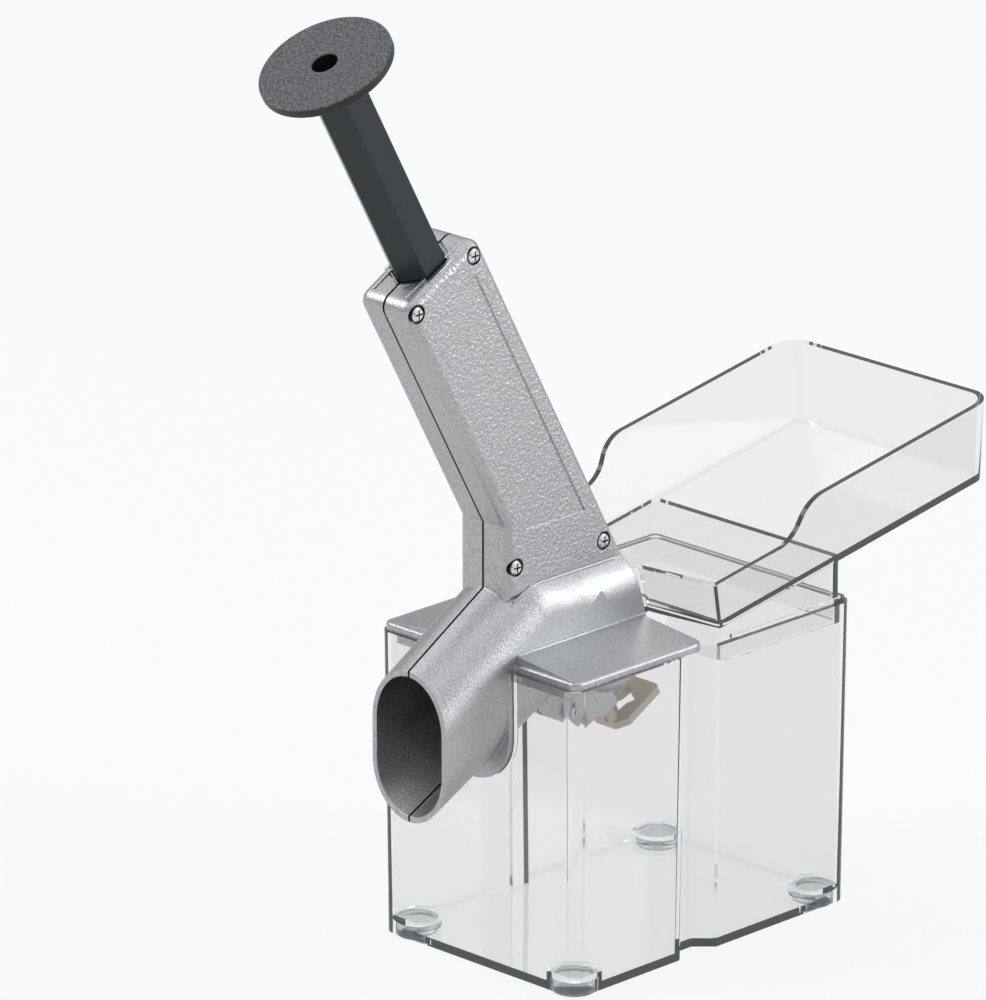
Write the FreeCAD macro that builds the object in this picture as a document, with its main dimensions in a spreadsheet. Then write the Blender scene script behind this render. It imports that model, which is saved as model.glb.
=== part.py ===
import FreeCAD, Part
import math
import os
import re

import Sketcher

# Cherry pitter that stands on a clear pit container.
# Millimetres. X is across, -Y is the spout's side, +Y the cherry tray's side, +Z is up.
# The origin is on the table, under the middle of the container.
# The plunger leans towards the spout. Along it, "up the axis" is measured from the top face
# of the pit wiper, and "behind the axis" square to it in the middle plane.

doc = FreeCAD.newDocument("CherryPitter")
CUTS = []

DRIVING = {
    # pit container
    "container_width": 78.5,
    "container_depth": 113.0,
    "container_rim": 91.7,
    "container_wall": 2.0,
    "container_corner": 4.0,
    "container_draft": 0.6,
    "floor_lift": 1.0,
    "floor_thick": 2.0,
    "groove_start": -13.5,
    "groove_span": 15.0,
    "groove_inset": 5.0,
    "notch_half": 14.9,
    "notch_bottom": 57.8,
    "notch_gap": 0.3,
    # rubber feet in raised pockets of the floor
    "foot_in_across": 8.25,
    "foot_in_along": 7.9,
    "foot_radius": 6.3,
    "foot_gap": 0.1,
    "foot_tall": 4.5,
    "foot_chamfer": 0.6,
    "pocket_wall": 0.8,
    "pocket_roof": 1.5,
    # plunger axis
    "tilt": 28.8,
    "axis_along": 3.1,
    "axis_level": 64.2,
    "travel": 66.0,
    # upper box of the housing
    "box_half": 9.8,
    "box_wall": 2.0,
    "box_front": 16.9,
    "box_rear": 15.2,
    "box_top": 169.6,
    "box_round": 3.0,
    "top_round": 3.8,
    "box_foot": 44.0,
    "front_wall": -53.6,
    "part_gap": 0.2,
    "panel_depth": 0.4,
    "panel_top": 160.0,
    "panel_front": 11.8,
    "panel_rear": 9.1,
    "panel_level": 130.5,
    # spout and chute
    "duct_half": 14.35,
    "duct_wall": 1.5,
    "duct_taper": 2.0,
    "mouth_along": -82.8,
    "mouth_level": 72.85,
    "mouth_half_height": 19.5,
    "chute_stop": 17.3,
    # hood over the cherry inlet
    "hood_level": 103.2,
    "hood_front": -41.0,
    "hood_rear": -2.6,
    "hood_rake": 13.0,
    # flanges on the container's rim
    "flange_thick": 2.4,
    "flange_inset": 1.0,
    "flange_rear": -4.3,
    "flange_corner": 3.0,
    "flange_bead": 0.8,
    "rib_thick": 1.4,
    "rib_tall": 3.0,
    "rib_gap": 0.4,
    "collar_front": 1.4,
    "collar_back": 0.9,
    # cherry cup
    "cup_centre": 24.5,
    "cup_neck": 4.0,
    "cup_hole": 5.5,
    # guide for the rod and stop for the plunger
    "guide_top": 76.0,
    "bush_length": 6.0,
    "pin_bore": 3.8,
    "bush_radius": 4.5,
    "bush_flange": 6.0,
    "bush_flange_thick": 1.2,
    "bush_gap": 0.05,
    "stop_thick": 3.0,
    "stop_reach": 8.9,
    # how far a cut runs past the face that it opens
    "overrun": 1.0,
    # plunger
    "bar_flats": 14.2,
    "bar_gap": 0.3,
    "bar_bottom": 146.5,
    "disc_gap": 4.4,
    "bar_bore": 5.6,
    "bar_bore_top": 190.0,
    "shoe_thick": 5.7,
    "shoe_gap": 0.4,
    "disc_radius": 19.2,
    "disc_thick": 3.0,
    "disc_round": 0.7,
    "disc_hole": 3.8,
    "rod_radius": 2.5,
    "rod_gap": 0.1,
    "rod_tip": 61.0,
    "fin_radius": 3.4,
    "fin_thick": 1.0,
    "fin_length": 8.7,
    "fin_core": 1.5,
    "nut_radius": 3.4,
    "nut_thick": 2.2,
    "nut_sink": 6.0,
    # return spring
    "spring_radius": 4.4,
    "spring_wire": 1.2,
    "spring_turns": 11.0,
    # pit wiper
    "wiper_top": 2.2,
    "wiper_thick": 2.4,
    "wiper_half": 7.0,
    "wiper_rear_half": 6.0,
    "wiper_front": 9.4,
    "wiper_cheek": 6.1,
    "wiper_shoulder": 7.4,
    "wiper_rear": 8.4,
    "star_tip": 5.0,
    "star_waist": 2.6,
    "star_turn": 20.0,
    "tongue_half": 4.0,
    "tongue_thick": 2.2,
    "tongue_tall": 14.5,
    "tongue_gap": 0.1,
    "slit_half": 1.6,
    "slit_wide": 0.9,
    "slit_top": 11.0,
    # lug below the chute, with its corners given up the axis and ahead of it
    "lug_half": 8.0,
    "lug_nose_up": 20.2,
    "lug_nose_ahead": 26.3,
    "lug_toe_up": 13.0,
    "lug_toe_ahead": 21.1,
    "lug_heel_up": 12.3,
    "lug_heel_ahead": 17.0,
    "lug_root_up": 28.0,
    "lug_brow_up": 32.0,
    "lug_brow_ahead": 28.0,
    # web that joins the lug to the cup and holds the wiper's tongue
    "web_half": 5.5,
    "web_bottom": 8.0,
    "web_front_up": 12.5,
    "web_front_ahead": 18.0,
    "web_top": 30.0,
    "web_nose": 2.6,
    "web_back": 1.3,
    # screws, with their places given up the axis and from it
    "screw_top_up": 165.4,
    "screw_top_ahead": 13.6,
    "screw_top_behind": 11.2,
    "screw_waist_up": 74.8,
    "screw_waist_ahead": 19.8,
    "screw_low_up": 57.6,
    "screw_low_behind": 10.5,
    "screw_lug_up": 21.5,
    "screw_lug_ahead": 22.7,
    "screw_radius": 1.5,
    "screw_gap": 0.05,
    "screw_length": 17.0,
    "lug_screw_length": 14.0,
    "head_radius": 2.4,
    "head_tall": 1.8,
    "head_seat": 1.4,
    "seat_gap": 0.35,
    "boss_radius": 2.6,
    "recess_long": 1.4,
    "recess_wide": 0.5,
    "recess_deep": 0.9,
    # cherry tray
    "tray_slope": 9.5,
    "tray_level": 95.1,
    "tray_half": 36.9,
    "tray_draft": 8.0,
    "tray_wall": 1.8,
    "tray_front": 3.5,
    "tray_outlet_along": 1.0,
    "tray_outlet_half": 11.5,
    "tray_lip_along": -2.4,
    "tray_rear": 116.0,
    "tray_corner": 4.5,
    "tray_low": 14.5,
    "tray_high": 25.0,
    "tray_step_start": 28.0,
    "tray_step_end": 47.0,
    "skirt_bottom": 85.5,
    "skirt_front": 4.9,
    "skirt_gap": 0.6,
    "window_half": 14.9,
    "ledge_reach": 1.3,
    "ledge_thick": 1.2,
}

sheet = doc.addObject("Spreadsheet::Sheet", "Sizes")
for row, (alias, value) in enumerate(DRIVING.items(), start=1):
    sheet.set("A%d" % row, alias)
    sheet.set("B%d" % row, str(value))
    sheet.setAlias("B%d" % row, alias)
doc.recompute()

WORD = re.compile(r"[a-z][a-z_]*[a-z]")


def bound(text):
    """The same formula, with each driving size read from the sheet."""
    return WORD.sub(lambda found: "Sizes." + found.group(0) if found.group(0) in DRIVING else found.group(0), text)


def size(text):
    return float(sheet.evalExpression(text))


def on_axis(up, behind):
    """A point of the middle plane, given up the plunger axis and behind it, as (Y, Z) formulas."""
    along = "axis_along - (%s) * sin(tilt) + (%s) * cos(tilt)" % (up, behind)
    level = "axis_level + (%s) * cos(tilt) + (%s) * sin(tilt)" % (up, behind)
    return along, level


def new_body(label):
    body = doc.addObject("PartDesign::Body", label)
    body.Label = label
    return body


def stand_on_axis(thing):
    """Moves a piece drawn upright onto the leaning plunger axis."""
    thing.Placement = FreeCAD.Placement(FreeCAD.Vector(), FreeCAD.Rotation(FreeCAD.Vector(1, 0, 0), size("tilt")))
    thing.setExpression("Placement.Base.y", bound("axis_along"))
    thing.setExpression("Placement.Base.z", bound("axis_level"))
    thing.setExpression("Placement.Rotation.Angle", bound("tilt"))


def new_sketch(body, name, role, offset=None, turn=None):
    """A sketch on an origin plane, moved by formulas in the plane's own axes and turned about its X."""
    sketch = body.newObject("Sketcher::SketchObject", name)
    plane = [item for item in body.Origin.OriginFeatures if item.Role == role][0]
    sketch.AttachmentSupport = (plane, [""])
    sketch.MapMode = "FlatFace"
    if turn:
        rotation = FreeCAD.Rotation(FreeCAD.Vector(1, 0, 0), size(turn))
        sketch.AttachmentOffset = FreeCAD.Placement(FreeCAD.Vector(), rotation)
        sketch.setExpression("AttachmentOffset.Rotation.Angle", bound(turn))
    for axis, formula in zip("xyz", offset or ()):
        if formula:
            sketch.setExpression("AttachmentOffset.Base." + axis, bound(formula))
    return sketch


def pin(sketch, curve, end, corner):
    """Holds one end of a curve at a corner given as two formulas."""
    for kind, formula, axis in (("DistanceX", corner[0], -2), ("DistanceY", corner[1], -1)):
        value = size(formula)
        if formula == "0":
            sketch.addConstraint(Sketcher.Constraint("PointOnObject", curve, end, axis))
        else:
            index = sketch.addConstraint(Sketcher.Constraint(kind, -1, 1, curve, end, value))
            sketch.setExpression("Constraints[%d]" % index, bound(formula))


def arc_between(first, last, radius, turn):
    """The short arc between two points, counter-clockwise where turn is 1."""
    chord = last - first
    half = chord.Length / 2
    lift = math.sqrt(max(radius * radius - half * half, 0.0))
    left = FreeCAD.Vector(-chord.y, chord.x, 0) / chord.Length
    centre = (first + last) / 2 + left * lift * turn
    begin, stop = (first, last) if turn > 0 else (last, first)
    angles = [math.atan2(point.y - centre.y, point.x - centre.x) for point in (begin, stop)]
    return Part.ArcOfCircle(Part.Circle(centre, FreeCAD.Vector(0, 0, 1), radius), angles[0], angles[1])


def draw(sketch, *corners):
    """A closed outline. Each corner is (x, y), or (x, y, radius, turn) where an arc leads to it."""
    places = [FreeCAD.Vector(size(corner[0]), size(corner[1]), 0) for corner in corners]
    ends = []
    for index, corner in enumerate(corners):
        first, last = places[index - 1], places[index]
        if len(corner) == 2:
            curve = sketch.addGeometry(Part.LineSegment(first, last), False)
            ends.append((curve, 1, 2))
        else:
            curve = sketch.addGeometry(arc_between(first, last, size(corner[2]), corner[3]), False)
            ends.append((curve, 1, 2) if corner[3] > 0 else (curve, 2, 1))
            held = sketch.addConstraint(Sketcher.Constraint("Radius", curve, size(corner[2])))
            sketch.setExpression("Constraints[%d]" % held, bound(corner[2]))
    for index, corner in enumerate(corners):
        curve, _, stop = ends[index]
        following, begin, _ = ends[(index + 1) % len(ends)]
        sketch.addConstraint(Sketcher.Constraint("Coincident", curve, stop, following, begin))
        pin(sketch, curve, stop, corner)


def draw_circle(sketch, centre, radius):
    place = FreeCAD.Vector(size(centre[0]), size(centre[1]), 0)
    curve = sketch.addGeometry(Part.Circle(place, FreeCAD.Vector(0, 0, 1), size(radius)), False)
    held = sketch.addConstraint(Sketcher.Constraint("Radius", curve, size(radius)))
    sketch.setExpression("Constraints[%d]" % held, bound(radius))
    if centre == ("0", "0"):
        sketch.addConstraint(Sketcher.Constraint("Coincident", curve, 3, -1, 1))
    else:
        pin(sketch, curve, 3, centre)


def pad(body, name, sketch, length, middle=False, back=False, taper=None):
    feature = body.newObject("PartDesign::Pad", name)
    feature.Profile = sketch
    feature.setExpression("Length", bound(length))
    feature.Midplane = middle
    feature.Reversed = back
    if taper:
        feature.setExpression("TaperAngle", bound(taper))
    return feature


def pocket(body, name, sketch, length, middle=False, back=False, taper=None):
    """A cut. It goes against the sketch's normal, or along it where back is true."""
    feature = body.newObject("PartDesign::Pocket", name)
    feature.Profile = sketch
    feature.setExpression("Length", bound(length))
    feature.Midplane = middle
    feature.Reversed = back
    if taper:
        feature.setExpression("TaperAngle", bound(taper))
    CUTS.append(feature)
    return feature


def edges_where(feature, test):
    """Names of a feature's edges whose middle passes the test."""
    doc.recompute()
    names = []
    for index, edge in enumerate(feature.Shape.Edges, start=1):
        middle = edge.valueAt((edge.FirstParameter + edge.LastParameter) / 2)
        if test(middle, edge):
            names.append("Edge%d" % index)
    return names


def round_off(body, name, base, test, radius):
    feature = body.newObject("PartDesign::Fillet", name)
    feature.Base = (base, edges_where(base, test))
    feature.setExpression("Radius", bound(radius))
    return feature


def bevel(body, name, base, test, width):
    feature = body.newObject("PartDesign::Chamfer", name)
    feature.Base = (base, edges_where(base, test))
    feature.setExpression("Size", bound(width))
    return feature


def near(value, wanted, slack=0.02):
    return abs(value - wanted) < slack


def rounded_box(left, right, front, rear, radius):
    """Corners of a rectangle with equal round corners, for draw."""
    return [
        ("%s - %s" % (right, radius), front),
        (right, "%s + %s" % (front, radius), radius, 1),
        (right, "%s - %s" % (rear, radius)),
        ("%s - %s" % (right, radius), rear, radius, 1),
        ("%s + %s" % (left, radius), rear),
        (left, "%s - %s" % (rear, radius), radius, 1),
        (left, "%s + %s" % (front, radius)),
        ("%s + %s" % (left, radius), front, radius, 1),
    ]


# Pit container: a drafted clear box with a groove up each side, a notch for the spout and four foot pockets

def container_outline(inset, level):
    """The container's plan at a height, drawn in from its outer faces."""
    draft = "(container_rim - (%s)) * tan(container_draft)" % level
    half = "(container_width / 2 - %s - %s)" % (inset, draft)
    end = "(container_depth / 2 - %s - %s)" % (inset, draft)
    radius = "(container_corner - %s)" % inset
    shift = "(%s) * tan(45 / 2)" % inset
    floor = "(%s - groove_inset)" % half
    stations = [
        "groove_start - %s" % shift,
        "groove_start + groove_inset - %s" % shift,
        "groove_start + groove_span - groove_inset + %s" % shift,
        "groove_start + groove_span + %s" % shift,
    ]
    right = [(half, stations[0]), (floor, stations[1]), (floor, stations[2]), (half, stations[3])]
    left = [("-" + x, y) for x, y in reversed(right)]
    return (
        [("%s - %s" % (half, radius), "-" + end), (half, "%s - %s" % (radius, end), radius, 1)]
        + right
        + [(half, "%s - %s" % (end, radius)), ("%s - %s" % (half, radius), end, radius, 1)]
        + [("%s - %s" % (radius, half), end), ("-" + half, "%s - %s" % (end, radius), radius, 1)]
        + left
        + [("-" + half, "%s - %s" % (radius, end)), ("%s - %s" % (radius, half), "-" + end, radius, 1)]
    )


FOOT_ACROSS = "(container_width / 2 - foot_in_across)"
FOOT_ALONG = "(container_depth / 2 - foot_in_along)"
FOOT_CORNERS = {
    "front_left": ("-" + FOOT_ACROSS, "-" + FOOT_ALONG),
    "front_right": (FOOT_ACROSS, "-" + FOOT_ALONG),
    "rear_left": ("-" + FOOT_ACROSS, FOOT_ALONG),
    "rear_right": (FOOT_ACROSS, FOOT_ALONG),
}


def make_container():
    body = new_body("container")
    outside = new_sketch(body, "ContainerOutside", "XY_Plane", (None, None, "floor_lift"))
    draw(outside, *container_outline("0", "floor_lift"))
    pad(body, "ContainerBlock", outside, "container_rim - floor_lift", taper="container_draft")
    floor_top = "floor_lift + floor_thick"
    inside = new_sketch(body, "ContainerInside", "XY_Plane", (None, None, floor_top))
    draw(inside, *container_outline("container_wall", floor_top))
    pocket(body, "ContainerHollow", inside, "container_rim - floor_lift", back=True, taper="container_draft")
    raised = new_sketch(body, "FootPockets", "XY_Plane", (None, None, "floor_lift"))
    hollow = new_sketch(body, "FootHollows", "XY_Plane", (None, None, "floor_lift"))
    for corner in FOOT_CORNERS.values():
        draw_circle(raised, corner, "foot_radius + foot_gap + pocket_wall")
        draw_circle(hollow, corner, "foot_radius + foot_gap")
    pad(body, "FootPocketWalls", raised, "foot_tall - floor_lift + pocket_roof")
    pocket(body, "FootPocketBores", hollow, "foot_tall - floor_lift", back=True)
    notch = new_sketch(body, "NotchOutline", "XZ_Plane", (None, None, "container_depth / 2 + container_wall"))
    draw(
        notch,
        ("0", "notch_bottom", "notch_half", 1),
        ("notch_half", "notch_bottom + notch_half", "notch_half", 1),
        ("notch_half", "container_rim + container_wall"),
        ("-notch_half", "container_rim + container_wall"),
        ("-notch_half", "notch_bottom + notch_half"),
    )
    pocket(body, "Notch", notch, "container_wall * 3 + container_corner")
    return body


def make_feet():
    feet = []
    for corner, (across, along) in FOOT_CORNERS.items():
        body = new_body("foot_" + corner)
        disc = new_sketch(body, "Disc_" + corner, "XY_Plane")
        draw_circle(disc, (across, along), "foot_radius")
        block = pad(body, "Block_" + corner, disc, "foot_tall")
        bevel(body, "Edge_" + corner, block, lambda middle, edge: near(middle.z, 0), "foot_chamfer")
        feet.append(body)
    return feet


# Housing: two die-cast halves that meet in the middle plane. Both are cut from one casting shape.

def duct_section(half, tall):
    """Plan of the spout square to its run: a tall slot with round top and bottom."""
    side = "(%s - %s)" % (tall, half)
    return [
        ("0", "-" + tall, half, 1),
        (half, "-" + side, half, 1),
        (half, side),
        ("0", tall, half, 1),
        ("-" + half, side, half, 1),
        ("-" + half, "-" + side),
    ]


def duct_height(run, inset):
    return "(mouth_half_height + (%s) * tan(duct_taper) - %s)" % (run, inset)


MOUTH_BEHIND = "((mouth_along - axis_along) * cos(tilt) + (mouth_level - axis_level) * sin(tilt))"
MOUTH_UP = "((axis_along - mouth_along) * sin(tilt) + (mouth_level - axis_level) * cos(tilt))"
MOUTH_LEAD = "(mouth_half_height * tan(tilt) + duct_wall)"
CHUTE_RUN = "(-%s - chute_stop)" % MOUTH_BEHIND


def duct_sketch(body, name, run, inset):
    """A section of the chute, at a run measured inwards from the middle of the spout's mouth."""
    level = "mouth_level + (%s) * sin(tilt)" % run
    along = "-(mouth_along + (%s) * cos(tilt))" % run
    sketch = new_sketch(body, name, "XZ_Plane", (None, level, along), "tilt")
    draw(sketch, *duct_section("(duct_half - %s)" % inset, duct_height(run, inset)))
    return sketch


def trough_sketch(body, name, inset):
    """The chute's lower half, where it runs on from the front of the box to the axis."""
    level = "mouth_level + %s * sin(tilt)" % CHUTE_RUN
    along = "-(mouth_along + %s * cos(tilt))" % CHUTE_RUN
    sketch = new_sketch(body, name, "XZ_Plane", (None, level, along), "tilt")
    half = "(duct_half - %s)" % inset
    tall = duct_height(CHUTE_RUN, inset)
    draw(
        sketch,
        ("0", "-" + tall, half, 1),
        (half, "%s - %s" % (half, tall), half, 1),
        (half, "0"),
        ("-" + half, "0"),
        ("-" + half, "%s - %s" % (half, tall)),
    )
    return sketch


def loft(body, name, kind, first, last):
    feature = body.newObject(kind, name)
    feature.Profile = first
    feature.Sections = [last]
    feature.Ruled = True
    return feature


def make_casting():
    """The whole casting, both halves together, with its inner spaces."""
    body = new_body("casting")
    side = new_sketch(body, "BoxSide", "YZ_Plane")
    low = on_axis("box_foot", "box_rear")
    knee_level = "axis_level - (box_front + (front_wall - axis_along) * cos(tilt)) / sin(tilt)"
    draw(
        side,
        on_axis("box_top", "-box_front"),
        ("front_wall", knee_level),
        ("front_wall", low[1]),
        low,
        on_axis("box_top", "box_rear"),
    )
    box = pad(body, "Box", side, "box_half * 2", middle=True)
    half = size("box_half")
    top = [size(on_axis("box_top", behind)[1]) for behind in ("-box_front", "box_rear")]
    topped = round_off(body, "TopRounds", box, lambda middle, edge: near(middle.x, 0)
                       and (near(middle.z, top[0]) or near(middle.z, top[1])), "top_round")
    round_off(body, "BoxRounds", topped, lambda middle, edge: near(abs(middle.x), half), "box_round")

    outer_mouth = duct_sketch(body, "DuctMouth", "-" + MOUTH_LEAD, "0")
    outer_end = duct_sketch(body, "DuctEnd", CHUTE_RUN, "0")
    loft(body, "Duct", "PartDesign::AdditiveLoft", outer_mouth, outer_end)
    outer_trough = trough_sketch(body, "DuctUnderside", "0")
    pad(body, "Underside", outer_trough, "chute_stop", back=True)

    hood = new_sketch(body, "HoodArch", "XZ_Plane", (None, None, "-hood_front"))
    draw(
        hood,
        ("-duct_half", "container_rim"),
        ("duct_half", "container_rim"),
        ("duct_half", "hood_level"),
        ("0", "hood_level + duct_half", "duct_half", 1),
        ("-duct_half", "hood_level", "duct_half", 1),
    )
    pad(body, "Hood", hood, "hood_rear - hood_front", back=True)

    cup = new_sketch(body, "CupOutside", "YZ_Plane")
    draw(
        cup,
        on_axis("cup_centre - duct_half", "0"),
        on_axis("cup_centre", "duct_half") + ("duct_half", 1),
        on_axis("cup_centre + duct_half + cup_neck", "duct_half"),
        on_axis("cup_centre + duct_half + cup_neck", "0"),
    )
    turn_round(body, "Cup", cup, "PartDesign::Revolution")

    lug = new_sketch(body, "LugSide", "YZ_Plane")
    draw(
        lug,
        on_axis("lug_nose_up", "-lug_nose_ahead"),
        on_axis("lug_toe_up", "-lug_toe_ahead"),
        on_axis("lug_heel_up", "-lug_heel_ahead"),
        on_axis("lug_root_up", "-lug_heel_ahead"),
        on_axis("lug_brow_up", "-lug_brow_ahead"),
    )
    pad(body, "Lug", lug, "lug_half * 2", middle=True)
    web = new_sketch(body, "WebSide", "YZ_Plane")
    web_rear = "-(wiper_front - tongue_thick - web_back)"
    draw(
        web,
        on_axis("web_front_up", "-web_front_ahead"),
        on_axis("web_bottom", "-wiper_front - web_nose"),
        on_axis("web_bottom", web_rear),
        on_axis("lug_root_up", web_rear),
        on_axis("web_top", "-web_front_ahead"),
    )
    pad(body, "Web", web, "web_half * 2", middle=True)

    add_flanges(body)
    cut_inside(body)
    return body


def turn_round(body, name, sketch, kind):
    """Turns a profile about the edge that leads to its first corner."""
    feature = body.newObject(kind, name)
    feature.Profile = sketch
    feature.ReferenceAxis = (sketch, ["Edge1"])
    feature.Angle = 360
    return feature


def add_flanges(body):
    for sign in ("", "-"):
        name = "Right" if sign == "" else "Left"
        out = "(container_width / 2 - flange_inset)"
        front = "(flange_inset - container_depth / 2)"
        corners = [
            (sign + "(duct_half - duct_wall / 2)", front),
            (sign + "(%s - flange_corner)" % out, front),
            (sign + out, front + " + flange_corner", "flange_corner", 1),
            (sign + out, "flange_rear - flange_corner"),
            (sign + "(%s - flange_corner)" % out, "flange_rear", "flange_corner", 1),
            (sign + "(duct_half - duct_wall / 2)", "hood_rear"),
        ]
        if sign:
            corners = [corner[:3] + (-1,) if len(corner) == 4 else corner for corner in corners]
        plate = new_sketch(body, "Flange" + name, "XY_Plane", (None, None, "container_rim"))
        draw(plate, *corners)
        flange = pad(body, "FlangePlate" + name, plate, "flange_thick")
        top = size("container_rim + flange_thick")
        edge_at = size("container_width / 2 - flange_inset")
        front_at = size(front)
        round_off(
            body, "FlangeBead" + name, flange,
            lambda middle, edge: near(middle.z, top) and middle.x * (1 if sign == "" else -1) > size("duct_half + 1")
            and (abs(middle.x) > edge_at - size("flange_corner") or near(middle.y, front_at)),
            "flange_bead",
        )
        inner = "(container_width / 2 - container_wall - rib_gap)"
        rib_front = "(container_wall + rib_gap - container_depth / 2)"
        rib = new_sketch(body, "Rib" + name, "XY_Plane", (None, None, "container_rim - rib_tall"))
        draw(
            rib,
            (sign + "(duct_half - duct_wall / 2)", rib_front),
            (sign + "(%s - container_corner)" % inner, rib_front),
            (sign + "(%s - container_corner)" % inner, rib_front + " + rib_thick"),
            (sign + "(duct_half - duct_wall / 2)", rib_front + " + rib_thick"),
        )
        pad(body, "FlangeRib" + name, rib, "rib_tall + flange_thick / 2")

    collar = new_sketch(body, "CollarOutline", "XZ_Plane", (None, None, "container_depth / 2 + collar_front"))
    reach = "(notch_half - notch_gap)"
    middle = "notch_bottom + notch_half"
    draw(
        collar,
        ("0", "notch_bottom + notch_gap", reach, 1),
        (reach, middle, reach, 1),
        (reach, "container_rim"),
        ("-" + reach, "container_rim"),
        ("-" + reach, middle),
    )
    pad(body, "Collar", collar, "collar_front + container_wall + collar_back", back=True)


def cut_inside(body):
    """Mouth, chute, cup, hood, spring box and bores, cut after everything is added."""
    mouth = new_sketch(body, "MouthCut", "YZ_Plane")
    over = "mouth_level + mouth_half_height * 2"
    ahead = "mouth_along - mouth_half_height * 2"
    draw(mouth, ("mouth_along", "0"), ("mouth_along", over), (ahead, over), (ahead, "0"))
    pocket(body, "Mouth", mouth, "(duct_half + overrun) * 2", middle=True)

    inner_mouth = duct_sketch(body, "ChuteMouth", "-" + MOUTH_LEAD + " - duct_wall", "duct_wall")
    inner_end = duct_sketch(body, "ChuteEnd", CHUTE_RUN, "duct_wall")
    loft(body, "Chute", "PartDesign::SubtractiveLoft", inner_mouth, inner_end)
    trough = trough_sketch(body, "TroughSection", "duct_wall")
    pocket(body, "Trough", trough, "chute_stop")
    bore = "(duct_half - duct_wall)"

    cup = new_sketch(body, "CupInside", "YZ_Plane")
    draw(
        cup,
        on_axis("cup_centre - " + bore, "0"),
        on_axis("cup_centre", bore) + (bore, 1),
        on_axis(MOUTH_UP + " + overrun", bore),
        on_axis(MOUTH_UP + " + overrun", "0"),
    )
    turn_round(body, "CupHollow", cup, "PartDesign::Groove")

    hood = new_sketch(body, "HoodInside", "XZ_Plane", (None, None, "duct_wall - hood_front"))
    sill = "container_rim + flange_thick"
    draw(
        hood,
        ("-" + bore, sill),
        (bore, sill),
        (bore, "hood_level"),
        ("0", "hood_level + " + bore, bore, 1),
        ("-" + bore, "hood_level", bore, 1),
    )
    pocket(body, "HoodHollow", hood, "hood_rear - hood_front + duct_half * 2")

    rear = new_sketch(body, "RearCut", "YZ_Plane")
    top = "hood_level + duct_half"
    raked = "hood_rear - (%s - %s) * tan(hood_rake)" % (top, sill)
    beyond = "hood_rear + duct_half * 2"
    draw(rear, ("hood_rear", sill), (beyond, sill), (beyond, top), (raked, top))
    pocket(body, "Rear", rear, "(duct_half + overrun) * 2", middle=True)

    box = new_sketch(body, "BoxInside", "YZ_Plane")
    front = "-(box_front - box_wall)"
    back = "(box_rear - box_wall)"
    stop = "bar_bottom + shoe_thick + bar_gap"
    draw(
        box,
        on_axis("guide_top", front),
        on_axis("guide_top", back),
        on_axis("box_top - box_wall", back),
        on_axis("box_top - box_wall", front),
        on_axis(stop + " + stop_thick", front),
        on_axis(stop + " + stop_thick", "-stop_reach"),
        on_axis(stop, "-stop_reach"),
        on_axis(stop, front),
    )
    pocket(body, "BoxHollow", box, "(box_half - box_wall) * 2", middle=True)

    bosses = new_sketch(body, "BossCircles", "YZ_Plane")
    for name in ("top_front", "top_rear"):
        draw_circle(bosses, SCREWS[name][0], "boss_radius")
    pad(body, "Bosses", bosses, "box_half * 2 - box_wall", middle=True)

    for name, (place, face, length) in SCREWS.items():
        hole = new_sketch(body, "ScrewHole_" + name, "YZ_Plane", (None, None, face + " + head_tall"))
        draw_circle(hole, place, "screw_radius + screw_gap")
        pocket(body, "ScrewBore_" + name, hole, length + " + head_tall + part_gap")

    guide = axis_circle(body, "GuideBore", "pin_bore", "cup_centre")
    pocket(body, "Guide", guide, "guide_top - cup_centre + overrun", back=True)
    seat = axis_circle(body, "BushSeat", "bush_radius + bush_gap", "guide_top - bush_length")
    pocket(body, "BushBore", seat, "bush_length + overrun", back=True)
    drop = axis_circle(body, "CupHole", "cup_hole", "web_bottom - overrun")
    pocket(body, "CupBore", drop, "cup_centre - web_bottom + overrun", back=True)

    opening = axis_sketch(body, "BarHole", "box_top - box_wall * 2")
    draw(opening, *hexagon("bar_flats / 2 + bar_gap"))
    pocket(body, "BarOpening", opening, "box_wall * 3", back=True)

    slot = axis_sketch(body, "TongueSlot", "web_bottom - overrun")
    gap = "tongue_gap"
    draw(
        slot,
        ("-tongue_half - " + gap, "-wiper_front - " + gap),
        ("tongue_half + " + gap, "-wiper_front - " + gap),
        ("tongue_half + " + gap, "tongue_thick - wiper_front + " + gap),
        ("-tongue_half - " + gap, "tongue_thick - wiper_front + " + gap),
    )
    pocket(body, "TongueBore", slot, "tongue_tall - web_bottom + overrun + " + gap, back=True)

    panel = new_sketch(body, "PanelOutline", "YZ_Plane", (None, None, "box_half - panel_depth"))
    draw_panel(panel)
    pocket(body, "PanelRight", panel, "overrun", back=True)
    panel = new_sketch(body, "PanelOutlineLeft", "YZ_Plane", (None, None, "panel_depth - box_half"))
    draw_panel(panel)
    pocket(body, "PanelLeft", panel, "overrun")


def draw_panel(sketch):
    foot = [
        "((panel_level - axis_level - (%s) * sin(tilt)) / cos(tilt))" % behind
        for behind in ("-panel_front", "panel_rear")
    ]
    draw(
        sketch,
        on_axis(foot[0], "-panel_front"),
        on_axis(foot[1], "panel_rear"),
        on_axis("panel_top", "panel_rear"),
        on_axis("panel_top", "-panel_front"),
    )


def axis_sketch(body, name, up):
    """A sketch square to the plunger axis, with its origin on the axis."""
    along, level = on_axis(up, "0")
    return new_sketch(body, name, "XY_Plane", (None, along, level), "tilt")


def axis_circle(body, name, radius, up):
    sketch = axis_sketch(body, name, up)
    draw_circle(sketch, ("0", "0"), radius)
    return sketch


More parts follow.
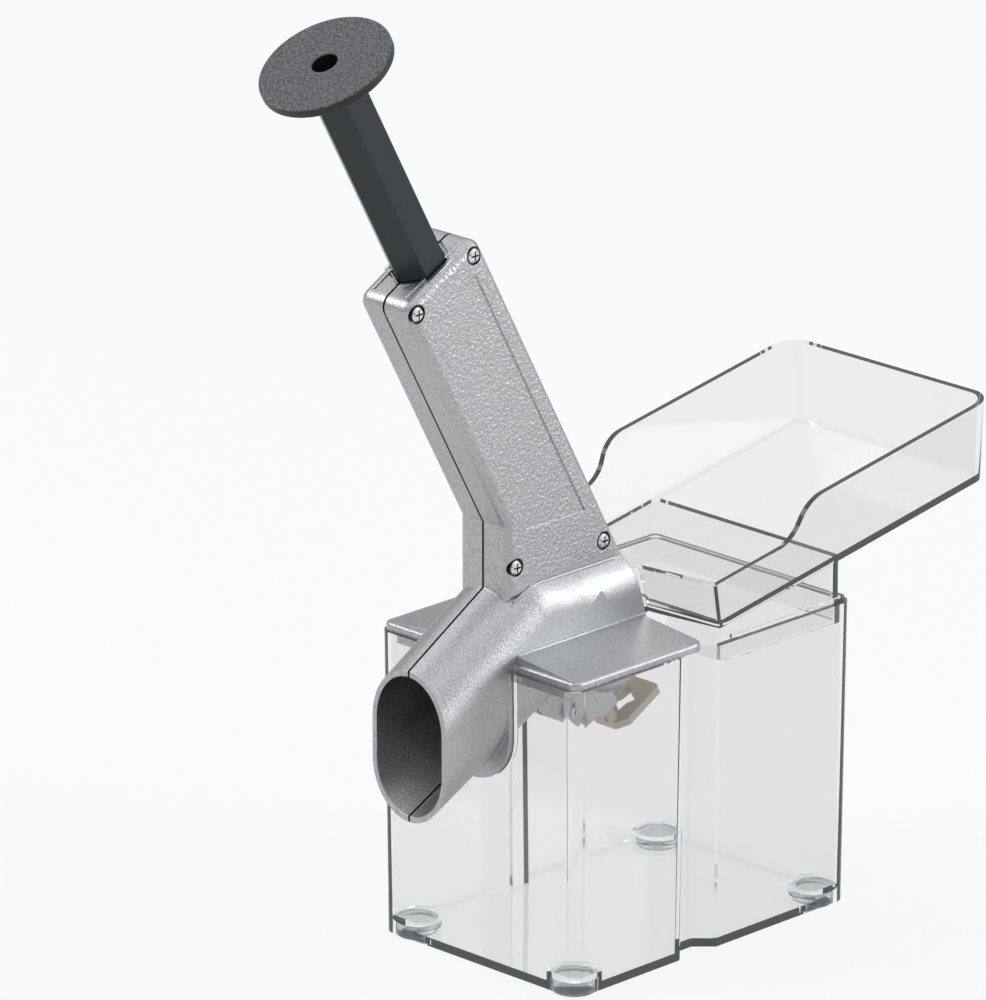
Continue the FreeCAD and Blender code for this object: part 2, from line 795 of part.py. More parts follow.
def hexagon(flat):
    """A hexagon with flats to the sides and corners to the front and rear."""
    tip = "((%s) / cos(30))" % flat
    return [
        ("0", "-" + tip),
        (flat, "-%s / 2" % tip),
        (flat, "%s / 2" % tip),
        ("0", tip),
        ("-(%s)" % flat, "%s / 2" % tip),
        ("-(%s)" % flat, "-%s / 2" % tip),
    ]


SEAT = "(box_half - head_seat)"
BAR_TOP = "(box_top + travel + disc_gap)"
SCREWS = {
    "top_front": (on_axis("screw_top_up", "-screw_top_ahead"), SEAT, "screw_length"),
    "top_rear": (on_axis("screw_top_up", "screw_top_behind"), SEAT, "screw_length"),
    "waist_front": (on_axis("screw_waist_up", "-screw_waist_ahead"), SEAT, "screw_length"),
    "waist_rear": (on_axis("screw_low_up", "screw_low_behind"), SEAT, "screw_length"),
    "lug": (on_axis("screw_lug_up", "-screw_lug_ahead"), "lug_half", "lug_screw_length"),
}


def make_half(label, casting, sign):
    """One die-cast half: the part of the casting on its side of the parting plane."""
    side = doc.addObject("Part::Box", "Side_" + label)
    span = "container_depth * 4"
    for name, formula in (("Length", "container_width"), ("Width", span), ("Height", span)):
        side.setExpression(name, bound(formula))
    start = "part_gap / 2" if sign > 0 else "-part_gap / 2 - container_width"
    side.setExpression("Placement.Base.x", bound(start))
    side.setExpression("Placement.Base.y", bound("-container_depth * 2"))
    half = doc.addObject("Part::Common", "Cast_" + label)
    half.Base = casting
    half.Tool = side
    if sign < 0:
        half.Label = label
        return half
    seats = []
    for name, (place, face, _) in SCREWS.items():
        seat = doc.addObject("Part::Cylinder", "Seat_" + name)
        seat.Placement = FreeCAD.Placement(FreeCAD.Vector(), FreeCAD.Rotation(FreeCAD.Vector(0, 1, 0), 90))
        seat.setExpression("Radius", bound("head_radius + seat_gap"))
        seat.setExpression("Height", bound("head_tall * 2"))
        for axis, formula in zip("xyz", (face, place[0], place[1])):
            seat.setExpression("Placement.Base." + axis, bound(formula))
        seats.append(seat)
    seated = doc.addObject("Part::MultiFuse", "HeadSeats")
    seated.Shapes = seats
    cut = doc.addObject("Part::Cut", label)
    cut.Base = half
    cut.Tool = seated
    cut.Label = label
    return cut


# Guide and wiper: pieces clamped between the halves

def make_bush():
    """Flanged bush that guides the rod and carries the spring."""
    body = new_body("guide_bush")
    stem = new_sketch(body, "BushStem", "XY_Plane", (None, None, "guide_top - bush_length"))
    draw_circle(stem, ("0", "0"), "bush_radius")
    pad(body, "Stem", stem, "bush_length")
    rim = new_sketch(body, "BushRim", "XY_Plane", (None, None, "guide_top"))
    draw_circle(rim, ("0", "0"), "bush_flange")
    pad(body, "Rim", rim, "bush_flange_thick")
    bore = new_sketch(body, "BushBoreCircle", "XY_Plane", (None, None, "guide_top - bush_length"))
    draw_circle(bore, ("0", "0"), "rod_radius + rod_gap")
    pocket(body, "BushBoreCut", bore, "bush_length + bush_flange_thick", back=True)
    stand_on_axis(body)
    return body


def star(tip, waist):
    """A four-pointed star, turned about the plunger axis."""
    corners = []
    for quarter in range(4):
        for turn, reach in ((0, tip), (45, waist)):
            angle = "(star_turn + %d)" % (quarter * 90 + turn)
            corners.append(("(%s) * cos%s" % (reach, angle), "(%s) * sin%s" % (reach, angle)))
    return corners


def make_wiper():
    """Plate that strips the pit off the pin, with a forked tongue that plugs in ahead of the cup."""
    body = new_body("pit_wiper")
    plate = new_sketch(body, "WiperPlan", "XY_Plane", (None, None, "wiper_top - wiper_thick"))
    draw(
        plate,
        ("-tongue_half", "-wiper_front"),
        ("tongue_half", "-wiper_front"),
        ("wiper_half", "-wiper_cheek"),
        ("wiper_half", "wiper_shoulder"),
        ("wiper_rear_half", "wiper_rear"),
        ("-wiper_rear_half", "wiper_rear"),
        ("-wiper_half", "wiper_shoulder"),
        ("-wiper_half", "-wiper_cheek"),
    )
    pad(body, "WiperPlate", plate, "wiper_thick")
    tongue = new_sketch(body, "TonguePlan", "XY_Plane", (None, None, "wiper_top - wiper_thick"))
    draw(
        tongue,
        ("-tongue_half", "-wiper_front"),
        ("tongue_half", "-wiper_front"),
        ("tongue_half", "tongue_thick - wiper_front"),
        ("-tongue_half", "tongue_thick - wiper_front"),
    )
    pad(body, "Tongue", tongue, "wiper_thick - wiper_top + tongue_tall")
    slits = new_sketch(body, "Slits", "XZ_Plane", (None, None, "wiper_front + tongue_thick"))
    for sign in ("-", ""):
        near_side = sign + "(slit_half - slit_wide / 2)"
        far_side = sign + "(slit_half + slit_wide / 2)"
        draw(slits, (near_side, "wiper_top"), (far_side, "wiper_top"), (far_side, "slit_top"),
             (near_side, "slit_top"))
    pocket(body, "TongueSlits", slits, "tongue_thick * 3")
    hole = new_sketch(body, "StarOutline", "XY_Plane", (None, None, "wiper_top - wiper_thick"))
    draw(hole, *star("star_tip", "star_waist"))
    pocket(body, "Star", hole, "wiper_thick", back=True)
    stand_on_axis(body)
    return body


# Plunger: hexagonal bar with a guide shoe, palm disc, finned rod, nut and return spring

def make_bar():
    body = new_body("plunger_bar")
    profile = new_sketch(body, "BarHexagon", "XY_Plane", (None, None, "bar_bottom"))
    draw(profile, *hexagon("bar_flats / 2"))
    pad(body, "Bar", profile, BAR_TOP + " - bar_bottom")
    shoe = new_sketch(body, "ShoePlan", "XY_Plane", (None, None, "bar_bottom"))
    side = "(box_half - box_wall - shoe_gap)"
    front = "(shoe_gap + box_wall - box_front)"
    back = "(box_rear - box_wall - shoe_gap)"
    draw(shoe, *rounded_box("-" + side, side, front, back, "box_wall / 2"))
    pad(body, "Shoe", shoe, "shoe_thick")
    bore = new_sketch(body, "BarBoreCircle", "XY_Plane", (None, None, "bar_bottom"))
    draw_circle(bore, ("0", "0"), "bar_bore")
    pocket(body, "BarBore", bore, "bar_bore_top - bar_bottom", back=True)
    hole = new_sketch(body, "RodHoleCircle", "XY_Plane", (None, None, "bar_bottom"))
    draw_circle(hole, ("0", "0"), "rod_radius + rod_gap / 2")
    pocket(body, "RodHole", hole, BAR_TOP + " - bar_bottom", back=True)
    sink = new_sketch(body, "NutPocketCircle", "XY_Plane", (None, None, BAR_TOP + " - nut_sink"))
    draw_circle(sink, ("0", "0"), "disc_hole")
    pocket(body, "NutPocket", sink, "nut_sink", back=True)
    stand_on_axis(body)
    return body


def make_disc():
    body = new_body("palm_disc")
    plan = new_sketch(body, "DiscPlan", "XY_Plane", (None, None, BAR_TOP))
    draw_circle(plan, ("0", "0"), "disc_radius")
    block = pad(body, "Disc", plan, "disc_thick")
    rounded = round_off(body, "DiscEdge", block, lambda middle, edge: True, "disc_round")
    hole = new_sketch(body, "DiscHole", "XY_Plane", (None, None, BAR_TOP))
    draw_circle(hole, ("0", "0"), "disc_hole")
    pocket(body, "DiscBore", hole, "disc_thick", back=True)
    stand_on_axis(body)
    return body


def make_rod():
    """Steel rod with four fins on its end, which push the stone out and cross the wiper's star."""
    body = new_body("pitting_rod")
    shank = new_sketch(body, "RodCircle", "XY_Plane", (None, None, "rod_tip + fin_length"))
    draw_circle(shank, ("0", "0"), "rod_radius")
    top = BAR_TOP + " - nut_sink + nut_thick / 2"
    pad(body, "Rod", shank, top + " - rod_tip - fin_length")
    core = new_sketch(body, "CoreCircle", "XY_Plane", (None, None, "rod_tip"))
    draw_circle(core, ("0", "0"), "fin_core")
    pad(body, "Core", core, "fin_length + rod_radius")
    for quarter in range(2):
        fin = new_sketch(body, "Fin%d" % quarter, "XY_Plane", (None, None, "rod_tip"))
        corners = []
        for far, wide in (("-", "-"), ("", "-"), ("", ""), ("-", "")):
            reach, thick = far + "fin_radius", wide + "fin_thick / 2"
            angle = "(star_turn + %d)" % (quarter * 90)
            corners.append((
                "(%s) * cos%s - (%s) * sin%s" % (reach, angle, thick, angle),
                "(%s) * sin%s + (%s) * cos%s" % (reach, angle, thick, angle),
            ))
        draw(fin, *corners)
        pad(body, "FinPair%d" % quarter, fin, "fin_length")
    stand_on_axis(body)
    return body


def make_nut():
    body = new_body("rod_nut")
    plan = new_sketch(body, "NutHexagon", "XY_Plane", (None, None, BAR_TOP + " - nut_sink"))
    draw(plan, *hexagon("nut_radius * cos(30)"))
    pad(body, "Nut", plan, "nut_thick")
    bore = new_sketch(body, "NutBoreCircle", "XY_Plane", (None, None, BAR_TOP + " - nut_sink"))
    draw_circle(bore, ("0", "0"), "rod_radius + rod_gap / 4")
    pocket(body, "NutBore", bore, "nut_thick / 2 + rod_gap", back=True)
    stand_on_axis(body)
    return body


def biarc(start, heading, finish, leaving):
    """Two arcs in tangent from one point and heading to another, as edges."""
    chord = finish - start
    both = heading + leaving
    bend = 2 * (1 - heading.dot(leaving))
    reach = (-chord.dot(both) + math.sqrt(chord.dot(both) ** 2 + bend * chord.dot(chord))) / bend
    first, last = start + heading * reach, finish - leaving * reach
    joint = (first + last) / 2
    edges = []
    for begin, corner, end in ((start, first, joint), (joint, last, finish)):
        half = (end - begin).normalize().dot((corner - begin).normalize())
        middle = (begin + end) / 2
        edges.append(Part.Arc(begin, middle + (corner - middle) * (half / (1 + half)), end).toShape())
    return edges


def make_spring():
    """Helix round the rod, from the bush up into the bar's bore."""
    low = size("guide_top + bush_flange_thick + spring_wire / 2 + rod_gap")
    high = size("bar_bore_top - spring_wire / 2 - rod_gap")
    coil, wire = size("spring_radius"), size("spring_wire") / 2
    halves = int(round(size("spring_turns") * 2))
    climb = (high - low) / (halves * math.pi)
    places, headings = [], []
    for index in range(halves + 1):
        angle = index * math.pi
        places.append(FreeCAD.Vector(coil * math.cos(angle), coil * math.sin(angle), low + climb * angle))
        headings.append(FreeCAD.Vector(-coil * math.sin(angle), coil * math.cos(angle), climb).normalize())
    edges = []
    for index in range(halves):
        edges.extend(biarc(places[index], headings[index], places[index + 1], headings[index + 1]))
    path = Part.Wire(edges)
    around = FreeCAD.Rotation(FreeCAD.Vector(0, 0, 1), headings[0])
    rim = [FreeCAD.Vector(math.cos(k * math.pi / 4), math.sin(k * math.pi / 4), 0) * wire for k in range(9)]
    section = Part.makePolygon([places[0] + around.multVec(point) for point in rim])
    tube = path.makePipeShell([section], True, False)
    print("spring: least gap between turns %.2f mm" % (climb * 2 * math.pi - 2 * wire))
    spring = doc.addObject("Part::Feature", "return_spring")
    spring.Label = "return_spring"
    spring.Shape = tube
    stand_on_axis(spring)
    return spring


# Screws: pan heads with a cross recess, all driven from the right side

def make_screw(name):
    label = "screw_" + name
    body = new_body(label)
    (along, level), face, length = SCREWS[name]
    centre = (along, level)
    shank = new_sketch(body, "Shank_" + label, "YZ_Plane", (None, None, face))
    draw_circle(shank, centre, "screw_radius")
    pad(body, "ShankPad_" + label, shank, length, back=True)
    head = new_sketch(body, "Head_" + label, "YZ_Plane", (None, None, face))
    draw_circle(head, centre, "head_radius")
    crown = pad(body, "HeadPad_" + label, head, "head_tall")
    top = size("%s + head_tall" % face)
    bevel(body, "Crown_" + label, crown, lambda middle, edge: near(middle.x, top), "head_tall / 2")
    for turn in ((1, 0), (0, 1)):
        cross = new_sketch(body, "Cross%d_%s" % (turn[0], label), "YZ_Plane", (None, None, face + " + head_tall"))
        wide = "recess_long" if turn[0] else "recess_wide / 2"
        tall = "recess_long" if turn[1] else "recess_wide / 2"
        corners = [("(%s) %s %s" % (along, a, wide), "(%s) %s %s" % (level, b, tall))
                   for a, b in (("-", "-"), ("+", "-"), ("+", "+"), ("-", "+"))]
        draw(cross, *corners)
        pocket(body, "Recess%d_%s" % (turn[0], label), cross, "recess_deep")
    return body


# Cherry tray: a sloping tub over a skirt that drops into the container

def tray_outline(inset):
    half, rear = "(tray_half - %s)" % inset, "(tray_rear - %s)" % inset
    corner = "(tray_corner - %s)" % inset
    front = "(tray_front + %s)" % inset
    mouth = "(tray_outlet_half + tray_wall - %s)" % inset
    outlet = "(tray_outlet_along + %s)" % inset
    return [
        (mouth, outlet),
        (half, front),
        (half, "%s - %s" % (rear, corner)),
        ("%s - %s" % (half, corner), rear, corner, 1),
        ("%s - %s" % (corner, half), rear),
        ("-" + half, "%s - %s" % (rear, corner), corner, 1),
        ("-" + half, front),
        ("-" + mouth, outlet),
    ]


def tray_upright(body, name, level):
    """A level sketch in the tilted tray, at a height above the table."""
    along = "(%s - tray_level) * sin(tray_slope)" % level
    height = "(%s - tray_level) * cos(tray_slope)" % level
    return new_sketch(body, name, "XY_Plane", (None, along, height), "-tray_slope")


def make_tray():
    body = new_body("hopper_tray")
    side = "(container_width / 2 - container_wall - skirt_gap)"
    rear = "(container_depth / 2 - container_wall - skirt_gap)"
    corner = "(container_corner - container_wall + skirt_gap)"
    skirt = tray_upright(body, "SkirtPlan", "skirt_bottom")
    draw(skirt, *rounded_box("-" + side, side, "skirt_front", rear, corner))
    pad(body, "Skirt", skirt, "container_rim - skirt_bottom + tray_rear * sin(tray_slope)")
    ledge = tray_upright(body, "LedgePlan", "container_rim")
    wide, back = "(%s + ledge_reach)" % side, "(%s + ledge_reach)" % rear
    draw(ledge, *rounded_box("-" + wide, wide, "skirt_front + ledge_reach * 2", back, corner))
    pad(body, "Ledge", ledge, "ledge_thick")
    inner = tray_upright(body, "SkirtInside", "skirt_bottom")
    draw(inner, *rounded_box("tray_wall - " + side, side + " - tray_wall", "skirt_front + tray_wall",
                             rear + " - tray_wall", "tray_wall"))
    pocket(body, "SkirtHollow", inner, "tray_rear", back=True)
    window = new_sketch(body, "CupWindow", "XZ_Plane", (None, None, "skirt_front"))
    under = "(skirt_bottom - tray_level - tray_wall * 2)"
    draw(window, ("-window_half", under), ("window_half", under), ("window_half", "-tray_wall"),
         ("-window_half", "-tray_wall"))
    pocket(body, "SkirtWindow", window, "skirt_front * 3")
    over = new_sketch(body, "FloorPlane", "YZ_Plane")
    draw(over, ("-tray_half", "tray_wall / 3"), ("tray_rear", "tray_wall / 3"), ("tray_rear", "tray_rear"),
         ("-tray_half", "tray_rear"))
    pocket(body, "SkirtTop", over, "container_width * 2", middle=True)

    outside = new_sketch(body, "TrayOutside", "XY_Plane")
    draw(outside, *tray_outline("0"))
    tub = pad(body, "TrayBlock", outside, "tray_high", taper="tray_draft")
    inside = new_sketch(body, "TrayInside", "XY_Plane", (None, None, "tray_wall"))
    draw(inside, *tray_outline("(tray_wall * (1 - tan(tray_draft)))"))
    pocket(body, "TrayHollow", inside, "tray_high", back=True, taper="tray_draft")
    outlet = new_sketch(body, "OutletPlan", "XY_Plane", (None, None, "tray_wall"))
    draw(outlet, ("-tray_outlet_half", "-tray_half"), ("tray_outlet_half", "-tray_half"),
         ("tray_outlet_half", "tray_front + tray_wall"), ("-tray_outlet_half", "tray_front + tray_wall"))
    pocket(body, "Outlet", outlet, "tray_high * 2", back=True)
    lip = new_sketch(body, "LipPlan", "XY_Plane")
    draw(lip, ("-tray_outlet_half", "tray_lip_along"), ("tray_outlet_half", "tray_lip_along"),
         ("tray_outlet_half", "tray_front + tray_wall"), ("-tray_outlet_half", "tray_front + tray_wall"))
    pad(body, "OutletLip", lip, "tray_wall")
    step = new_sketch(body, "WallStep", "YZ_Plane")
    middle = "(tray_step_start + tray_step_end) / 2"
    rise, run = "(tray_high - tray_low) / 2", "(tray_step_end - tray_step_start) / 2"
    bend = "((%s) ^ 2 + (%s) ^ 2) / (2 * (%s))" % (rise, run, rise)
    draw(
        step,
        ("-tray_half", "tray_low"),
        ("tray_step_start", "tray_low"),
        (middle, "(tray_low + tray_high) / 2", bend, 1),
        ("tray_step_end", "tray_high", bend, -1),
        ("tray_step_end", "tray_high * 2"),
        ("-tray_half", "tray_high * 2"),
    )
    pocket(body, "Step", step, "container_width * 2", middle=True)
    body.Placement = FreeCAD.Placement(FreeCAD.Vector(), FreeCAD.Rotation(FreeCAD.Vector(1, 0, 0), size("tray_slope")))
    body.setExpression("Placement.Base.z", bound("tray_level"))
    body.setExpression("Placement.Rotation.Angle", bound("tray_slope"))
    return body


PIECES = []


def build():
    PIECES.append(make_container())
    PIECES.extend(make_feet())
    casting = make_casting()
    doc.recompute()
    for label, sign in (("housing_right", 1), ("housing_left", -1)):
        PIECES.append(make_half(label, casting, sign))
    for name in SCREWS:
        PIECES.append(make_screw(name))
    PIECES.append(make_bush())
    PIECES.append(make_wiper())
    PIECES.append(make_bar())
    PIECES.append(make_disc())
    PIECES.append(make_rod())
    PIECES.append(make_nut())
    PIECES.append(make_spring())
    PIECES.append(make_tray())


def check_and_write():
    doc.recompute()
    for item in doc.Objects:
        faults = [state for state in item.State if state in ("Invalid", "Error")]
        if faults:
            raise RuntimeError("%s is %s" % (item.Label, faults))
    for cut in CUTS:
        if cut.BaseFeature.Shape.Volume - cut.Shape.Volume < 0.01:
            raise RuntimeError("%s removes nothing" % cut.Label)
    os.makedirs("parts", exist_ok=True)
    for piece in PIECES:
        shape = piece.Shape
        if shape.isNull() or not shape.isValid():
            raise RuntimeError("%s has no valid shape" % piece.Label)
        box = shape.BoundBox
        print("%-18s %d solids %10.1f mm3  x %.1f..%.1f y %.1f..%.1f z %.1f..%.1f" % (
            piece.Label, len(shape.Solids), shape.Volume, box.XMin, box.XMax, box.YMin, box.YMax, box.ZMin, box.ZMax))
        shape.exportStep("parts/%s.step" % piece.Label)


build()
check_and_write()
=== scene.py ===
import math

import bpy
from mathutils import Matrix, Vector


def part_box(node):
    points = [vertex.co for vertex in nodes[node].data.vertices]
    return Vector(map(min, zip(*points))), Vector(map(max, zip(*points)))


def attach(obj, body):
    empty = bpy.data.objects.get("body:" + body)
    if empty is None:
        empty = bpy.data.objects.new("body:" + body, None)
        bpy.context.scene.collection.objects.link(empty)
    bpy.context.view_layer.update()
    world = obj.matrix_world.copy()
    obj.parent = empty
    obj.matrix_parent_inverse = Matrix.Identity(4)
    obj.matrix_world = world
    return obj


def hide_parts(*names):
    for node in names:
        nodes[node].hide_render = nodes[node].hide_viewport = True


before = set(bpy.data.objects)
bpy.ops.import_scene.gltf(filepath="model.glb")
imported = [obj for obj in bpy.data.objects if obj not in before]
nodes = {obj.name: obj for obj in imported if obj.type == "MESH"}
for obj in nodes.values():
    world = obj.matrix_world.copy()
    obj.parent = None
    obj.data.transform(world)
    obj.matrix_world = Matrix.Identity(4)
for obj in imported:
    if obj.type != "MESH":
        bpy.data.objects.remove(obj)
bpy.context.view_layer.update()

mm = 0.001
sideName = {1: "Right", -1: "Left"}
# the plunger axis: its lean in degrees, and where it crosses the wiper's plate
axisFoot = {"lean": 28.8, "along": 3.1, "level": 64.2}
print("model loaded:", len(nodes), "pieces")


# colours and materials

def colour(hexValue):
    out = []
    for place in (0, 2, 4):
        level = int(hexValue[place:place + 2], 16) / 255
        out.append(level / 12.92 if level <= 0.04045 else ((level + 0.055) / 1.055) ** 2.4)
    return (*out, 1.0)


def add(tree, kind, settings=None, links=None):
    # one shader node: settings and links go by socket name or number, the rest by property name
    made = tree.nodes.new(kind)
    settings = settings or {}
    for key in [item for item in settings if isinstance(item, str) and item not in made.inputs]:
        setattr(made, key, settings[key])
    for key, value in settings.items():
        if isinstance(key, int) or key in made.inputs:
            made.inputs[key].default_value = value
    for key, (source, socket) in (links or {}).items():
        tree.links.new(source.outputs[socket], made.inputs[key])
    return made


def newMaterial(name, settings):
    material = bpy.data.materials.new(name)
    material.use_nodes = True
    tree = material.node_tree
    tree.nodes.clear()
    shader = add(tree, "ShaderNodeBsdfPrincipled", settings)
    add(tree, "ShaderNodeOutputMaterial", {}, {"Surface": (shader, 0)})
    return material, tree, shader


def paint(material, *names):
    for name in names:
        for slot in nodes[name].material_slots:
            slot.material = material


casting = {
    "dark": "9B9D9F",
    "light": "C8CACC",
    "grain": 0.55 * mm,         # blasted skin, drawn coarser than its real 0.2 mm so that it shows
    "grainDetail": 3.0,
    "grainRough": 0.6,
    "grainStrength": 0.4,
    "grainDepth": 0.25 * mm,
    "seamShade": "15191A",           # painted shade in the parting line
    "seamHalf": 0.3 * mm,       # drawn a little wider than its real gap so that it shows
    "seamFade": 1.5,
    "hammer": 1.0 * mm,         # the coarser dimples of the box's two sides
    "hammerDepth": 0.26 * mm,
    "hammerOut": (9.1 * mm, 9.95 * mm),    # they lie this far from the middle plane
    "hammerFoot": 116 * mm,     # and above this height
    "cloud": 18 * mm,           # patches of slightly different sheen
    "sheen": (0.34, 0.42),
    "spread": (0.3, 0.7),       # the part of a noise's range that holds its pattern
    "edge": 0.35 * mm,          # how far the tumbled edges look rounded
    "edgeSamples": 8,
}


def makeCasting(name, softEdges):
    # aluminium die casting, blasted and tumbled: matt grey with a fine sparkle and soft bright edges,
    # and a painted shade along the parting line
    material, tree, shader = newMaterial(name, {"Metallic": 1.0})
    where = add(tree, "ShaderNodeTexCoord")
    grain = add(tree, "ShaderNodeTexNoise",
                {"Scale": 1 / casting["grain"], "Detail": casting["grainDetail"],
                 "Roughness": casting["grainRough"]}, {"Vector": (where, "Object")})
    cloud = add(tree, "ShaderNodeTexNoise", {"Scale": 1 / casting["cloud"], "Detail": 2.0},
                {"Vector": (where, "Object")})
    dimples = add(tree, "ShaderNodeTexNoise", {"Scale": 1 / casting["hammer"], "Detail": 1.0},
                  {"Vector": (where, "Object")})
    place = add(tree, "ShaderNodeSeparateXYZ", {}, {0: (where, "Object")})
    out = add(tree, "ShaderNodeMath", {"operation": "ABSOLUTE"}, {0: (place, "X")})
    near, far = casting["hammerOut"]
    for test, limit, source in (("GREATER_THAN", near, (out, 0)), ("LESS_THAN", far, (out, 0)),
                                ("GREATER_THAN", casting["hammerFoot"], (place, "Z"))):
        inside = add(tree, "ShaderNodeMath", {"operation": test, 1: limit}, {0: source})
        dimples = add(tree, "ShaderNodeMath", {"operation": "MULTIPLY"},
                      {0: (dimples, 0), 1: (inside, 0)})
    low, high = casting["spread"]
    tone = add(tree, "ShaderNodeMapRange", {"From Min": low, "From Max": high}, {"Value": (grain, 0)})
    mixed = add(tree, "ShaderNodeMix", {"data_type": "RGBA", 6: colour(casting["dark"]),
                                        7: colour(casting["light"])}, {0: (tone, 0)})
    # painted shade: near-black in the parting line, fading out a little beyond its gap
    seamShade = add(tree, "ShaderNodeMapRange", {"From Min": casting["seamHalf"],
                                            "From Max": casting["seamHalf"] * casting["seamFade"]},
               {"Value": (out, 0)})
    shaded = add(tree, "ShaderNodeMix", {"data_type": "RGBA", 6: colour(casting["seamShade"])},
                 {0: (seamShade, 0), 7: (mixed, 2)})
    tree.links.new(shaded.outputs[2], shader.inputs["Base Color"])
    coarse = add(tree, "ShaderNodeBump", {"Strength": 1.0, "Distance": casting["hammerDepth"]},
                 {"Height": (dimples, 0)})
    if softEdges:
        soft = add(tree, "ShaderNodeBevel",
                   {"samples": casting["edgeSamples"], "Radius": casting["edge"]})
        tree.links.new(soft.outputs[0], coarse.inputs["Normal"])
    fine = add(tree, "ShaderNodeBump",
               {"Strength": casting["grainStrength"], "Distance": casting["grainDepth"]},
               {"Height": (grain, 0), "Normal": (coarse, 0)})
    tree.links.new(fine.outputs[0], shader.inputs["Normal"])
    smooth, dull = casting["sheen"]
    rough = add(tree, "ShaderNodeMapRange",
                {"From Min": low, "From Max": high, "To Min": smooth, "To Max": dull},
                {"Value": (cloud, 0)})
    tree.links.new(rough.outputs[0], shader.inputs["Roughness"])
    return material


paint(makeCasting("dieCastAluminium", True), "housing_right", "housing_left")
castSkin = makeCasting("dieCastAluminiumThin", False)    # for the thin forms laid on the castings

evenGrain = {"detail": 2.0, "depth": 0.2 * mm}


def grained(name, hexValue, settings, grainSize, strength):
    # a plain finish with an even moulded or drawn grain
    material, tree, shader = newMaterial(name, dict(settings, **{"Base Color": colour(hexValue)}))
    where = add(tree, "ShaderNodeTexCoord")
    grain = add(tree, "ShaderNodeTexNoise", {"Scale": 1 / grainSize, "Detail": evenGrain["detail"]},
                {"Vector": (where, "Object")})
    bump = add(tree, "ShaderNodeBump", {"Strength": strength, "Distance": evenGrain["depth"]},
               {"Height": (grain, 0)})
    tree.links.new(bump.outputs[0], shader.inputs["Normal"])
    return material


# SAN, injection moulded and polished: clear walls with a faint grey body. Its index is set under the
# real 1.57, and a trace of glow stands for the light that such walls pipe to their edges, which would
# be black without it
paint(grained("clearSan", "EFEFEF", {"Roughness": 0.01, "IOR": 1.32, "Transmission Weight": 1.0,
                                     "Emission Color": colour("DDE8E6"), "Emission Strength": 0.014},
              30 * mm, 0.03), "container", "hopper_tray")

# polypropylene, moulded: near-black with a cool green cast, satin along the bar
paint(grained("barPolypropylene", "0F2024", {"Roughness": 0.3, "IOR": 1.49}, 1.2 * mm, 0.12),
      "plunger_bar")

discSkin = {
    "pit": "26292B",
    "peak": "888D90",
    "rim": "15191B",
    "grain": 0.62 * mm,       # spark-eroded texture, drawn a little coarser than its real 0.4 mm
    "grainRough": 0.7,
    "grainStrength": 0.8,
    "grainDepth": 0.25 * mm,
    "speckle": (0.36, 0.72),
    "top": 297.75 * mm,       # the top face, measured up the plunger axis from the origin
    "edge": 0.5 * mm,
}


def makeDiscSkin():
    # polypropylene from a spark-eroded mould: grey speckle on the palm face, dark and smooth on the rim
    material, tree, shader = newMaterial("sparkErodedPolypropylene", {"Roughness": 0.42, "IOR": 1.49})
    where = add(tree, "ShaderNodeTexCoord")
    grain = add(tree, "ShaderNodeTexNoise", {"Scale": 1 / discSkin["grain"], "Detail": 2.0,
                                             "Roughness": discSkin["grainRough"]},
                {"Vector": (where, "Object")})
    low, high = discSkin["speckle"]
    speckle = add(tree, "ShaderNodeMapRange", {"From Min": low, "From Max": high}, {"Value": (grain, 0)})
    lean = math.radians(axisFoot["lean"])
    height = add(tree, "ShaderNodeVectorMath",
                 {"operation": "DOT_PRODUCT", 1: (0.0, -math.sin(lean), math.cos(lean))},
                 {0: (where, "Object")})
    face = add(tree, "ShaderNodeMapRange", {"From Min": discSkin["top"] - discSkin["edge"],
                                            "From Max": discSkin["top"] - discSkin["edge"] / 2},
               {"Value": (height, "Value")})
    skin = add(tree, "ShaderNodeMix", {"data_type": "RGBA", 6: colour(discSkin["pit"]),
                                       7: colour(discSkin["peak"])}, {0: (speckle, 0)})
    mixed = add(tree, "ShaderNodeMix", {"data_type": "RGBA", 6: colour(discSkin["rim"])},
                {0: (face, 0), 7: (skin, 2)})
    tree.links.new(mixed.outputs[2], shader.inputs["Base Color"])
    lift = add(tree, "ShaderNodeMath", {"operation": "MULTIPLY"}, {0: (grain, 0), 1: (face, 0)})
    bump = add(tree, "ShaderNodeBump", {"Strength": discSkin["grainStrength"],
                                        "Distance": discSkin["grainDepth"]}, {"Height": (lift, 0)})
    tree.links.new(bump.outputs[0], shader.inputs["Normal"])
    return material


paint(makeDiscSkin(), "palm_disc")

# zinc-plated steel, rolled and plated: bright grey with sharp small highlights
paint(grained("zincPlatedSteel", "C9CBCE", {"Metallic": 1.0, "Roughness": 0.2}, 1.0 * mm, 0.1),
      "rod_nut", "screw_lug")

screwHead = {
    "bright": "DCDEE0",
    # painted shade for the cross recess and the ring round the seat
    "recessShade": "23282A",
    "crown": 10.2 * mm,       # the crown's distance from the middle plane
    "shade": 0.35 * mm,       # how far below it the painted shade ends
    "seat": 1.6,              # and begins, as a multiple of that
    "patch": 0.8 * mm,
    "drift": 0.2 * mm,
}


